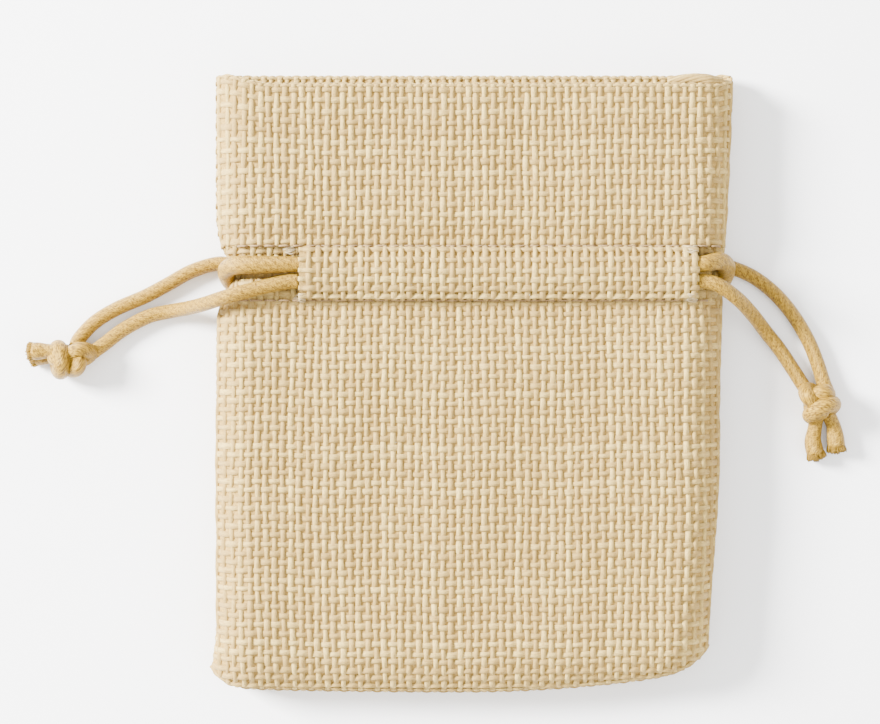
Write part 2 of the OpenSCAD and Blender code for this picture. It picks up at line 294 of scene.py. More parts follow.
def lay_tubes(name, lines, across, up, sides, tones, axis=None, level=False):
    """Lays a tube of the template along each line, and joins them into one object.

    lines is strands by stations by 3, in metres; across and up are half-widths of the same shape
    as its first two axes, and the across direction lies in the cloth. With an axis, the pattern
    along a strand is counted on that axis, so that it runs on from one piece to the next. With
    level, the across direction is the X axis, for yarns that turn through the upright.
    """
    strands, stations = lines.shape[:2]
    template, ring, spoke = tube_template(stations, sides)
    bm = bmesh.new()
    for _ in range(strands):
        bm.from_mesh(template)
    mesh = bpy.data.meshes.new(name)
    bm.to_mesh(mesh)
    bm.free()
    along = np.gradient(lines, axis=1)
    along /= np.maximum(np.linalg.norm(along, axis=2, keepdims=True), 1e-12)
    side = np.cross(np.broadcast_to([0.0, 0.0, 1.0], along.shape), along)
    if level:
        side = np.broadcast_to([1.0, 0.0, 0.0], along.shape)
    side = side / np.maximum(np.linalg.norm(side, axis=2, keepdims=True), 1e-9)
    rise = np.cross(along, side)
    turn = 2 * math.pi * spoke / sides
    at = lines[:, ring] + across[:, ring, None] * side[:, ring] * np.sin(turn)[None, :, None]
    at = at + up[:, ring, None] * rise[:, ring] * np.cos(turn)[None, :, None]
    mesh.vertices.foreach_set("co", at.reshape(-1).astype(np.float32))
    per = len(ring)
    step = np.linalg.norm(np.diff(lines, axis=1), axis=2)
    run = np.concatenate([np.zeros((strands, 1)), np.cumsum(step, axis=1)], axis=1) / MM
    # strands of one piece start at different places in the pattern
    run = run + 90 * np.reshape(tones, (-1, 1))
    if axis is not None:
        run = lines[:, :, axis] / MM
    corner = np.empty(len(mesh.loops), np.int32)
    mesh.loops.foreach_get("vertex_index", corner)
    strand, place = corner // per, corner % per
    uv = np.stack([run[strand, ring[place]] * 0.1, spoke[place] / sides], 1)
    starts = np.empty(len(mesh.polygons), np.int32)
    totals = np.empty(len(mesh.polygons), np.int32)
    mesh.polygons.foreach_get("loop_start", starts)
    mesh.polygons.foreach_get("loop_total", totals)
    quads = totals == 4
    loops = starts[quads][:, None] + np.arange(4)[None]
    v = uv[loops, 1]
    wrapped = (v.max(1) - v.min(1)) > 0.5
    v[wrapped] = np.where(v[wrapped] < 0.5, v[wrapped] + 1, v[wrapped])
    uv[loops, 1] = v
    layer = mesh.uv_layers.new(name="strand")
    layer.data.foreach_set("uv", uv.reshape(-1).astype(np.float32))
    tone = mesh.attributes.new("tone", "FLOAT", "POINT")
    tone.data.foreach_set("value", np.repeat(tones, per).astype(np.float32))
    mesh.polygons.foreach_set("use_smooth", np.ones(len(mesh.polygons), bool))
    bpy.data.meshes.remove(template)
    bm = bmesh.new()
    bm.from_mesh(mesh)
    bmesh.ops.recalc_face_normals(bm, faces=bm.faces)
    bm.to_mesh(mesh)
    bm.free()
    mesh.update()
    piece = bpy.data.objects.new(name, mesh)
    bpy.context.scene.collection.objects.link(piece)
    return piece


def placed_object(name, bm):
    """Frees the bmesh into a new object of the scene"""
    # solidify numbers its new faces in no fixed order, so they are put in one
    bm.faces.sort(key=lambda face: face.calc_center_median().dot(FACE_ORDER))
    mesh = bpy.data.meshes.new(name)
    bm.to_mesh(mesh)
    bm.free()
    piece = bpy.data.objects.new(name, mesh)
    bpy.context.scene.collection.objects.link(piece)
    return piece


def one_tube(name, points_mm, diameter, sides=16, step=0.35, flare=None):
    line, length = catmull(points_mm, step)
    half = np.full((1, len(line)), diameter / 2 / MM)
    if flare is not None:
        half = half * flare(np.linspace(0, 1, len(line)))[None]
    # a smooth line swings a little past its points, and nothing may sink into the floor
    line[:, 2] = np.maximum(line[:, 2], half[0] + 0.01)
    half = half * MM
    piece = lay_tubes(name, line[None] * MM, half, half, sides, np.array([0.5]))
    return piece, line * MM, length * MM


# ---- materials

def new_material(name):
    material = bpy.data.materials.new(name)
    material.use_nodes = True
    return material, material.node_tree.nodes, material.node_tree.links


def noise_on(nodes, links, source, scale, detail):
    """A noise texture read at the source's coordinates"""
    texture = nodes.new("ShaderNodeTexNoise")
    texture.inputs["Scale"].default_value = scale
    texture.inputs["Detail"].default_value = detail
    links.new(source, texture.inputs["Vector"])
    return texture


def two_tone(nodes, links, source, places, colours):
    """A ramp between two colours, each at its own place along the source's value"""
    ramp = nodes.new("ShaderNodeValToRGB")
    for stop, place, colour in zip(ramp.color_ramp.elements, places, colours):
        stop.position = place
        stop.color = (*colour, 1)
    links.new(source, ramp.inputs["Fac"])
    return ramp.outputs["Color"]


def raise_surface(nodes, links, shader, source, strength, distance):
    """Bumps the shader's surface by the source's value"""
    bump_node = nodes.new("ShaderNodeBump")
    bump_node.inputs["Strength"].default_value = strength
    bump_node.inputs["Distance"].default_value = distance
    links.new(source, bump_node.inputs["Height"])
    links.new(bump_node.outputs["Normal"], shader.inputs["Normal"])


def yarn_material(name, pale, golden, shade, golden_share):
    """Spun yarn: melange of pale and golden fibre along each strand, with fine fibre relief"""
    material, nodes, links = new_material(name)
    shader = nodes["Principled BSDF"]
    shader.inputs["Roughness"].default_value = 0.78
    shader.inputs["Specular IOR Level"].default_value = 0.25
    shader.inputs["Sheen Weight"].default_value = 0.08
    shader.inputs["Sheen Roughness"].default_value = 0.5
    uv = nodes.new("ShaderNodeUVMap"); uv.uv_map = "strand"
    tone = nodes.new("ShaderNodeAttribute"); tone.attribute_name = "tone"
    place = nodes.new("ShaderNodeTexCoord")
    offset = nodes.new("ShaderNodeVectorMath"); offset.operation = "MULTIPLY_ADD"
    offset.inputs[1].default_value = (17.0, 23.0, 0.0)
    links.new(tone.outputs["Vector"], offset.inputs[0])
    links.new(uv.outputs["UV"], offset.inputs[2])
    patches = noise_on(nodes, links, offset.outputs[0], 6.0, 3.0)
    blend = nodes.new("ShaderNodeMath"); blend.operation = "MULTIPLY_ADD"
    blend.inputs[1].default_value = 0.5
    links.new(tone.outputs["Fac"], blend.inputs[0])
    links.new(patches.outputs["Fac"], blend.inputs[2])
    melange = two_tone(nodes, links, blend.outputs[0], (0.42, 1.02 - golden_share), (pale, shade))
    stretch = nodes.new("ShaderNodeMapping")
    stretch.inputs["Scale"].default_value = (17.0, 22.0, 1.0)
    stretch.inputs["Rotation"].default_value = (0, 0, 0.25)
    links.new(offset.outputs[0], stretch.inputs["Vector"])
    fibre = noise_on(nodes, links, stretch.outputs[0], 1.0, 4.0)
    fibre.inputs["Roughness"].default_value = 0.65
    streak = nodes.new("ShaderNodeMapRange")
    streak.inputs["From Min"].default_value = 0.47
    streak.inputs["From Max"].default_value = 0.68
    streak.inputs["To Max"].default_value = 0.75
    links.new(fibre.outputs["Fac"], streak.inputs["Value"])
    mix = nodes.new("ShaderNodeMixRGB")
    mix.inputs["Color2"].default_value = (*golden, 1)
    links.new(streak.outputs[0], mix.inputs["Fac"])
    links.new(melange, mix.inputs["Color1"])
    links.new(mix.outputs["Color"], shader.inputs["Base Color"])
    fuzz = noise_on(nodes, links, place.outputs["Object"], 5200.0, 2.0)
    relief = nodes.new("ShaderNodeMath"); relief.operation = "ADD"
    links.new(fibre.outputs["Fac"], relief.inputs[0])
    links.new(fuzz.outputs["Fac"], relief.inputs[1])
    raise_surface(nodes, links, shader, relief.outputs[0], 0.55, 0.00012)
    return material


def shaded_ground_material(name, colour):
    """Fibre fuzz seen between the yarns, its colour darkened as painted shade in the gaps"""
    material, nodes, links = new_material(name)
    shader = nodes["Principled BSDF"]
    shader.inputs["Roughness"].default_value = 0.95
    shader.inputs["Specular IOR Level"].default_value = 0.05
    place = nodes.new("ShaderNodeTexCoord")
    fuzz = noise_on(nodes, links, place.outputs["Object"], 3400.0, 4.0)
    tones = ([c * 0.72 for c in colour], [min(1, c * 1.3) for c in colour])
    links.new(two_tone(nodes, links, fuzz.outputs["Fac"], (0.33, 0.68), tones),
              shader.inputs["Base Color"])
    return material


def satin_material(name, light, hollow_shade, turns, relief):
    """Twisted satin: fine slanting filaments with a soft sheen, and painted shade in the hollows
    between them
    """
    material, nodes, links = new_material(name)
    shader = nodes["Principled BSDF"]
    shader.inputs["Roughness"].default_value = 0.34
    shader.inputs["Specular IOR Level"].default_value = 0.45
    shader.inputs["Specular Tint"].default_value = (1.0, 0.72, 0.30, 1.0)
    uv = nodes.new("ShaderNodeUVMap"); uv.uv_map = "strand"
    slant = nodes.new("ShaderNodeSeparateXYZ")
    links.new(uv.outputs["UV"], slant.inputs[0])
    ply = nodes.new("ShaderNodeMath"); ply.operation = "MULTIPLY_ADD"
    ply.inputs[1].default_value = turns
    links.new(slant.outputs["X"], ply.inputs[0])
    links.new(slant.outputs["Y"], ply.inputs[2])
    angle = nodes.new("ShaderNodeMath"); angle.operation = "MULTIPLY"
    angle.inputs[1].default_value = 2 * math.pi * 6
    links.new(ply.outputs[0], angle.inputs[0])
    wave = nodes.new("ShaderNodeMath"); wave.operation = "SINE"
    links.new(angle.outputs[0], wave.inputs[0])
    combine = nodes.new("ShaderNodeCombineXYZ")
    along = nodes.new("ShaderNodeMath"); along.operation = "MULTIPLY"
    along.inputs[1].default_value = 12.0
    links.new(slant.outputs["X"], along.inputs[0])
    links.new(along.outputs[0], combine.inputs["X"])
    fine = nodes.new("ShaderNodeMath"); fine.operation = "MULTIPLY"
    fine.inputs[1].default_value = 22.0
    links.new(ply.outputs[0], fine.inputs[0])
    links.new(fine.outputs[0], combine.inputs["Y"])
    filament = noise_on(nodes, links, combine.outputs[0], 2.4, 4.0)
    height = nodes.new("ShaderNodeMath"); height.operation = "MULTIPLY_ADD"
    height.inputs[1].default_value = 0.03
    links.new(wave.outputs[0], height.inputs[0])
    links.new(filament.outputs["Fac"], height.inputs[2])
    # low places between the filaments take painted shade, and the raised filaments the light satin
    # colour
    links.new(two_tone(nodes, links, height.outputs[0], (0.40, 0.58), (hollow_shade, light)),
              shader.inputs["Base Color"])
    raise_surface(nodes, links, shader, height.outputs[0], relief, 0.0003)
    return material


def floor_material():
    """Plain matt studio floor"""
    material, nodes, links = new_material("studio_floor")
    shader = nodes["Principled BSDF"]
    shader.inputs["Roughness"].default_value = 0.9
    place = nodes.new("ShaderNodeTexCoord")
    mottle = noise_on(nodes, links, place.outputs["Object"], 30.0, 2.0)
    links.new(two_tone(nodes, links, mottle.outputs["Fac"], (0.0, 1.0), ((0.97,) * 3, (0.99,) * 3)),
              shader.inputs["Base Color"])
    return material


# ---- cloth

def corner_lift(x, y):
    """How far the front rim climbs to meet the back rim at its two corners"""
    left = 1.7 * (1 - ease((x + 40.6) / 9.0))
    right = 0.9 * (1 - ease((41.2 - x) / 3.0))
    return (left + right) * ease((y - 34.0) / 13.0)


def woven(name, x_range, y_range, height, face, settings, seed, materials, edge=None, grow=0.0,
          pitch=None, lift=0.0):
    """A patch of plain weave between x_range and y_range, laid on a height function.

    face is 1 for a cloth whose outside looks up and -1 for one whose outside looks down.
    """
    rng = np.random.default_rng(seed)
    warp_pitch = settings.warp_pitch / MM
    weft_pitch = pitch or settings.weft_pitch / MM
    low, high = x_range if edge is None else (max(x_range[0], edge[0]), min(x_range[1], edge[1]))
    y0, y1 = y_range
    wefts = max(2, int(round((y1 - y0) / weft_pitch)))
    weft_pitch = (y1 - y0) / wefts
    # warps are numbered from the middle line, so that the two halves of a face share one count
    warps = np.arange(int(math.ceil(low / warp_pitch)), int(math.floor(high / warp_pitch - 1e-6)) + 1)
    per = 4

    def bounds_at(y):
        return np.maximum(left_x(y), low), np.minimum(right_x(y), high)

    def sag(x, y):
        fade = np.clip(np.minimum(y - y0, y1 - y) / 6.0, 0.0, 1.0)
        return fade * (-0.55 * (1 - (x / 42.0) ** 2) + 0.12 * np.sin(x * 0.35))

    def squeeze(y):
        return np.interp(y, [FOOT_Y, -20, CASING_Y, RIM_Y],
                         [FOOT_SQUEEZE, 1.0, 0.985, FOOT_SQUEEZE])

    def above_foot(x, y):
        return np.maximum(y, bottom_y(np.clip(share(x, y), -1, 1)) + 0.3)

    ys = np.linspace(y0, y1, wefts * per + 1)[None]
    wander = 0.14 * np.sin(ys * rng.uniform(0.12, 0.3, (len(warps), 1))
                           + rng.uniform(0, 6.28, (len(warps), 1)))
    xs = (warps[:, None] + 0.5) * warp_pitch * squeeze(ys) + wander
    floor_x, roof_x = bounds_at(ys)
    xs = np.clip(xs, floor_x + EDGE_ROOM, roof_x - EDGE_ROOM)
    cross = above_foot(xs, np.broadcast_to(ys, xs.shape))
    count = (ys - sag(xs, ys) - y0) / weft_pitch - 0.5
    weave = CRIMP * np.cos(math.pi * (count + warps[:, None]))
    lines = np.stack([xs, cross + lift * corner_lift(xs, cross),
                      height(xs, cross) + face * (weave + grow)], 2) * MM
    thick = 1 + 0.17 * np.sin(ys * rng.uniform(0.4, 1.1, (len(warps), 1))
                              + rng.uniform(0, 6.28, (len(warps), 1)))
    warp_piece = lay_tubes(name + "_warp", lines, settings.warp_width / 2 * thick,
                           np.full(xs.shape, WARP_RISE), 6, rng.random(len(warps)), axis=1)
    # the wefts draw from a row of their own, so that both halves of a weft are alike
    rng = np.random.default_rng(seed + 500)
    order = np.arange(wefts)[:, None]
    middles = (order + 0.5) * weft_pitch + y0 + rng.normal(0, 0.07, (wefts, 1))
    portion = np.linspace(0, 1, len(warps) * per + 1)[None]
    floor_x, roof_x = bounds_at(middles)
    wx = floor_x + portion * (roof_x - floor_x)
    wy = above_foot(wx, middles + sag(wx, middles))
    count = wx / (squeeze(middles) * warp_pitch) - 0.5
    weave = -CRIMP * np.cos(math.pi * (count + order))
    lines = np.stack([wx, wy + lift * corner_lift(wx, wy),
                      height(wx, wy) + face * (weave + grow)], 2) * MM
    thick = 1 + 0.18 * np.sin(wx * rng.uniform(0.2, 0.7, (wefts, 1))
                              + rng.uniform(0, 6.28, (wefts, 1)))
    weft_piece = lay_tubes(name + "_weft", lines, settings.weft_width / 2 * thick,
                           np.full(wy.shape, WEFT_RISE), 6, rng.random(wefts), axis=0)
    # a sheet under the yarns, whose darker colour is painted shade in the gaps between them
    bm = bmesh.new()
    bmesh.ops.create_grid(bm, x_segments=40, y_segments=max(4, int((y1 - y0) / 1.5)), size=0.5)
    near, far = (0.0 if low == 0.0 else GROUND_INSET), (0.0 if high == 0.0 else GROUND_INSET)
    for v in bm.verts:
        # every row and column keeps its own room, so that no face of the sheet collapses
        u, w = v.co.x + 0.5, v.co.y + 0.5
        y = y0 + w * (y1 - y0)
        for _ in range(3):
            a, b = bounds_at(y)
            x = float(a) + near + u * (float(b) - float(a) - near - far)
            foot = max(y0, float(bottom_y(np.clip(share(x, y), -1, 1))) + 0.3)
            y = foot + w * (y1 - foot)
        lifted = y + lift * float(corner_lift(x, y))
        v.co = Vector((x, lifted, float(height(x, y)) + face * (grow - 0.10))) * MM
    if face < 0:
        bmesh.ops.reverse_faces(bm, faces=bm.faces)
    bmesh.ops.solidify(bm, geom=bm.faces[:], thickness=GROUND_THICKNESS)
    shaded_ground = placed_object(name + "_ground", bm)
    for piece, material in ((warp_piece, materials[0]), (weft_piece, materials[1]),
                            (shaded_ground, materials[2])):
        piece.data.materials.append(material)
    return join(name, [warp_piece, weft_piece, shaded_ground])


def folded(name, low, high, point, rows, settings, seed, materials):
    """Yarns carried round a fold, with wefts, and a sheet along it whose darker colour is painted
    shade between the yarns

    point(x, angle, out) is a place on the fold, in millimetres, with out measured off its surface.
    """
    rng = np.random.default_rng(seed)
    pitch = settings.warp_pitch / MM
    warps = np.arange(int(math.ceil(low / pitch)), int(math.floor(high / pitch - 1e-6)) + 1)
    angle = np.linspace(0, math.pi, 25)[None]
    x = np.clip((warps[:, None] + 0.5) * pitch * FOOT_SQUEEZE, low, high)
    crimp = 0.8 * CRIMP * np.cos(math.pi * (angle / math.pi * rows - 0.5 + warps[:, None]))
    lines = point(x + 0 * angle, angle + 0 * x, crimp) * MM
    warp = lay_tubes(name + "_warp", lines, np.full(lines.shape[:2], settings.warp_width / 2),
                     np.full(lines.shape[:2], WARP_RISE), 6, rng.random(len(warps)), level=True)
    along = np.linspace(low, high, len(warps) * 4 + 1)[None]
    order = np.arange(rows)[:, None]
    crimp = -0.8 * CRIMP * np.cos(math.pi * (along / (FOOT_SQUEEZE * pitch) - 0.5 + order))
    lines = point(along + 0.0 * order, (order + 0.5) / rows * math.pi + 0 * along, crimp) * MM
    weft = lay_tubes(name + "_weft", lines, np.full(lines.shape[:2], 0.00022),
                     np.full(lines.shape[:2], 0.0002), 6, rng.random(rows), axis=0)
    bm = bmesh.new()
    bmesh.ops.create_grid(bm, x_segments=60, y_segments=8, size=0.5)
    for v in bm.verts:
        at = point(np.array(low + (v.co.x + 0.5) * (high - low)),
                   np.array((0.5 - v.co.y) * math.pi), np.array(-0.12))
        v.co = Vector(at.tolist()) * MM
    bmesh.ops.solidify(bm, geom=bm.faces[:], thickness=GROUND_THICKNESS)
    shaded_ground = placed_object(name + "_ground", bm)
    for part, material in zip((warp, weft, shaded_ground), materials):
        part.data.materials.append(material)
    return join(name, [warp, weft, shaded_ground])


def rim_turn(name, span, rim_y, height, face, settings, seed, materials, lift=0.0):
    """The turned rim of a header"""
    def point(x, angle, out):
        y = rim_y - 0.55 + (0.55 + out) * np.sin(angle) + lift * corner_lift(x, rim_y)
        z = height(x, rim_y - 0.5) + face * (-0.36 + (0.5 + out) * np.cos(angle))
        return np.stack([x, y, np.maximum(z, 0.24)], -1)

    low, high = max(span[0], float(left_x(rim_y)) + 0.4), min(span[1], float(right_x(rim_y)) - 0.4)
    return folded(name, low, high, point, 3, settings, seed, materials)


def foot_turn(name, span, settings, seed, materials):
    """The bottom fold, which carries both panels' yarns round the foot"""
    line_y = FOOT_Y + 3.0

    def point(x, angle, out):
        foot = bottom_y(np.clip(share(x, line_y), -1, 1)) + 0.3
        top, under = front_height(x, foot + 0.2), back_height(x, foot + 0.2)
        y = foot + 0.25 - (0.75 + out) * np.sin(angle)
        z = (top + under) / 2 + ((top - under) / 2 + out) * np.cos(angle)
        return np.stack([x, y, np.maximum(z, 0.24)], -1)

    low, high = max(span[0], float(left_x(line_y)) + 0.35), min(span[1], float(right_x(line_y)) - 0.35)
    return folded(name, low, high, point, 4, settings, seed, materials)


def edge_yarns(name, side, low, high, material):
    """The yarns that close a side edge, lying along it one above another"""
    ys = np.linspace(low, high, int((high - low) / 0.35))[None]
    level = np.array([[-0.32], [0.02], [0.36]])
    border = left_x(ys) if side == "left" else right_x(ys)
    inward = 1 if side == "left" else -1
    x = border + inward * (0.22 + 0.25 * np.abs(level)) + 0.05 * np.sin(ys * 2.1 + 9 * level)
    lines = np.stack([x, ys + 0 * x, edge_height(ys) + 0.16 + level + 0 * x], 2) * MM
    half = np.full(lines.shape[:2], 0.00028)
    yarns = lay_tubes(name, lines, half, half, 6, np.array([0.2, 0.5, 0.8]), axis=1)
    yarns.data.materials.append(material)
    return yarns


def join(name, parts):
    """Joins the parts into one object of that name"""
    with bpy.context.temp_override(active_object=parts[0], object=parts[0],
                                   selected_objects=parts, selected_editable_objects=parts):
        bpy.ops.object.join()
    parts[0].name = name
    parts[0].data.name = name
    return parts[0]


def fasten(piece, slot, riding, *nodes):
    """Parents a piece to the empty of the body it rides on, or bakes its transform when riding is a
    tuple, and hides the solids that it stands for; the slot is not used
    """
    if isinstance(riding, tuple):
        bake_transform(piece)
    else:
        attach(piece, riding)
    if nodes:
        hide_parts(*nodes)


def cloth_materials(settings):
    found = bpy.data.materials.get("linen_warp")
    if found:
        return (found, bpy.data.materials["linen_weft"], bpy.data.materials["linen_shaded_ground"])
    # the sheet under the yarns is coloured darker, as painted shade in the gaps between them
    pale, golden, shaded_ground = (tuple(settings.pale), tuple(settings.golden), tuple(settings.shaded_ground))
    shade = tuple(p * 0.42 + g * 0.58 for p, g in zip(pale, golden))
    return (yarn_material("linen_warp", pale, golden, shade, 0.10),
            yarn_material("linen_weft", tuple(c * 0.94 for c in pale), golden, shade, 0.16),
            shaded_ground_material("linen_shaded_ground", shaded_ground))


def thread_material(name, pale, golden):
    """Sewing thread: a tighter yarn with a shade half way to its darker fibre"""
    shade = tuple((p + g) / 2 for p, g in zip(pale, golden))
    return yarn_material(name, pale, golden, shade, 0.2)


class POUCH_OT_stage(bpy.types.Operator):
    """Makes the floor, the lights and the camera"""
    bl_idname = "pouch.stage"
    bl_label = "Stage"

    def execute(self, context):
        settings = context.scene.pouch_stage
        cx, cy, _ = settings.centre
        camera = bpy.data.cameras.new("camera")
        camera.lens = settings.lens
        camera.sensor_width = 36.0
        eye = bpy.data.objects.new("camera", camera)
        distance = settings.frame_width * settings.lens / 36.0
        eye.location = (cx, cy, distance + 0.008)
        context.scene.collection.objects.link(eye)
        context.scene.camera = eye
        bm = bmesh.new()
        bmesh.ops.create_grid(bm, x_segments=2, y_segments=2, size=1.5)
        floor = placed_object("floor", bm)
        floor.data.materials.append(floor_material())
        world = bpy.data.worlds.new("studio")
        world.use_nodes = True
        world.node_tree.nodes["Background"].inputs["Color"].default_value = (1, 1, 1, 1)
        world.node_tree.nodes["Background"].inputs["Strength"].default_value = 2.2
        context.scene.world = world
        for name, place, power, size in (("key", (-0.8, 0.3, 0.45), 84.0, 0.3),
                                         ("fill", (0.55, -0.25, 0.7), 6.0, 0.7)):
            light = bpy.data.lights.new(name, "AREA")
            light.energy = power
            light.size = size
            lamp = bpy.data.objects.new(name, light)
            lamp.location = place
            lamp.rotation_euler = (-Vector(place)).to_track_quat("-Z", "Y").to_euler()
            context.scene.collection.objects.link(lamp)
        return {"FINISHED"}


def satin_for(settings):
    return satin_material(
        "drawcord_satin", tuple(settings.sheen_colour), tuple(settings.painted_hollow_shade), 1.1, 0.7)


class POUCH_OT_cords(bpy.types.Operator):
    """Makes both drawcords: free strands, loops through the casing, knots and frayed tails"""
    bl_idname = "pouch.cords"
    bl_label = "Drawcords"

    def execute(self, context):
        settings = context.scene.pouch_cord
        satin = satin_for(settings)
        for side in ("left", "right"):
            body = side + "_drawcord"
            loop, _, _ = one_tube(side + "_cord_loop_run", LOOPS[side + "_cord_loop"],
                                  settings.diameter, flare=lambda t: 1 + 0.28 * bump(t, 0.475, 0.055))
            loop.data.materials.append(satin)
            fasten(loop, "satin_cord", body, side + "_cord_front_run", side + "_cord_back_run",
                   side + "_cord_bight")
            knot = self.knot(side, settings, satin, body)
            tails = self.tails(side, settings, satin, body)
            for way in ("front", "back"):
                key = f"{side}_cord_{way}_strand"
                strand, line, length = one_tube(key + "_satin", ROUTES[key], settings.diameter)
                strand.data.materials.append(satin)
                fasten(strand, "satin_cord", body, key)
                path = line[::4].tolist()
                path[-1] = line[-1].tolist()
        return {"FINISHED"}

    def knot(self, side, settings, satin, body):
        """An overhand knot: the cord's own loops, drawn tight, with one wrap round the tails"""
        centre, half, heading = KNOTS[side + "_cord"]
        turn = math.radians(heading)
        fat = settings.diameter * 1.12

        def placed(x, y, z):
            return (centre[0] + x * math.cos(turn) - y * math.sin(turn),
                    centre[1] + x * math.sin(turn) + y * math.cos(turn), centre[2] + z)

        inner = fat / 2 / MM
        loops = []
        for t in np.linspace(0, 2 * math.pi, 72):
            x = (math.sin(t) + 1.6 * math.sin(2 * t)) / 2.6
            y = (math.cos(t) - 1.6 * math.cos(2 * t)) / 2.6
            loops.append(placed((half[0] - inner) * x + 0.3, (half[1] - inner) * y,
                                -(half[2] - 0.35) * math.sin(3 * t)))
        loop, _, _ = one_tube(side + "_cord_knot_loops", loops, fat, step=0.25)
        # the wrap goes right round the end that the tails leave by
        wrap = [placed(-half[0] * 0.42 + 0.5 * math.sin(t), (half[1] - inner) * math.cos(t),
                       (half[2] + 0.15) * math.sin(t)) for t in np.linspace(0, 2 * math.pi, 40)]
        band, _, _ = one_tube(side + "_cord_knot_wrap", wrap, fat * 1.1, step=0.25)
        for part in (loop, band):
            part.data.materials.append(satin)
        knot = join(side + "_cord_knot_satin", [loop, band])
        fasten(knot, "satin_cord", body, side + "_cord_knot")
        return knot

    def tails(self, side, settings, satin, body):
        """Short ends whose filaments fray"""
        rng = np.random.default_rng(11 if side == "left" else 12)
        parts = []
        for number, route in enumerate(TAILS[side + "_cord"]):
            core, line, _ = one_tube(f"{side}_tail_{number}", route, settings.diameter,
                                     flare=lambda t: (1 + 0.24 * ease((t - 0.3) / 0.5)
                                                      - 0.5 * np.clip((t - 0.9) / 0.1, 0, 1) ** 2))
            parts.append(core)
            tip, before = line[-1] / MM, line[-6] / MM
            ahead = (tip - before) / np.linalg.norm(tip - before)
            strands = []
            wide = np.cross((0.0, 0.0, 1.0), ahead)
            for _ in range(170):
                turn, out = rng.uniform(0, 2 * math.pi), math.sqrt(rng.random()) * 1.5
                spread = wide * (out * math.cos(turn)) + np.array((0, 0, out * math.sin(turn) * 0.8))
                root = tip - ahead * 0.7 + spread * 0.85
                end = tip + ahead * (0.85 - 0.3 * out + rng.normal(0, 0.1)) + spread * 1.08
                t = np.linspace(0, 1, 6)[:, None]
                strand = root + (end - root) * t + rng.normal(0, 0.07, 3) * np.sin(math.pi * t)
                strand[:, 2] = np.maximum(strand[:, 2], 0.22)
                strands.append(strand * MM)
            lines = np.array(strands)
            half = np.full(lines.shape[:2], 0.00016) * np.linspace(1, 0.6, 6)
            parts.append(lay_tubes(f"{side}_fray_{number}", lines, half, half, 4,
                                   rng.random(len(lines))))
        for part in parts:
            part.data.materials.append(satin)
        tails = join(side + "_cord_tails_satin", parts)
        fasten(tails, "satin_cord", body, side + "_cord_tails")
        return tails


class POUCH_OT_body_cloth(bpy.types.Operator):
    """Weaves the front and back panels and the bottom fold"""
    bl_idname = "pouch.body_cloth"
    bl_label = "Body cloth"

    def execute(self, context):
        settings = context.scene.pouch_cloth
        materials = cloth_materials(settings)
        for side, span in (("left", (-42.0, 0.0)), ("right", (0.0, 42.0))):
            riding = ("pouch", side + "_side")
            front = woven(side + "_front_panel_weave", span, (FOOT_Y + 0.4, LOWER_STITCH_Y + 3.4),
                          lambda x, y: front_height(x, y) - 0.55 * ease((y - 10.5) / 2.4), 1,
                          settings, 21, materials)
            back = woven(side + "_back_panel_weave", span, (FOOT_Y + 0.4, LOWER_STITCH_Y + 3.4),
                         back_height, -1, settings, 22, materials)
            fold = foot_turn(side + "_bottom_fold_weave", span, settings, 61, materials)
            corner = float(bottom_y(-1.0 if side == "left" else 1.0)) + 0.5
            front = join(front.name, [front, edge_yarns(side + "_body_edge", side, corner,
                                                        LOWER_STITCH_Y, materials[0])])
            fasten(front, "linen_cloth", riding, *(("front_panel",) if side == "left" else ()))
            fasten(fold, "linen_cloth", riding, *(("bottom_fold",) if side == "left" else ()))
            fasten(back, "linen_cloth", riding, *(("back_panel",) if side == "left" else ()))
        return {"FINISHED"}


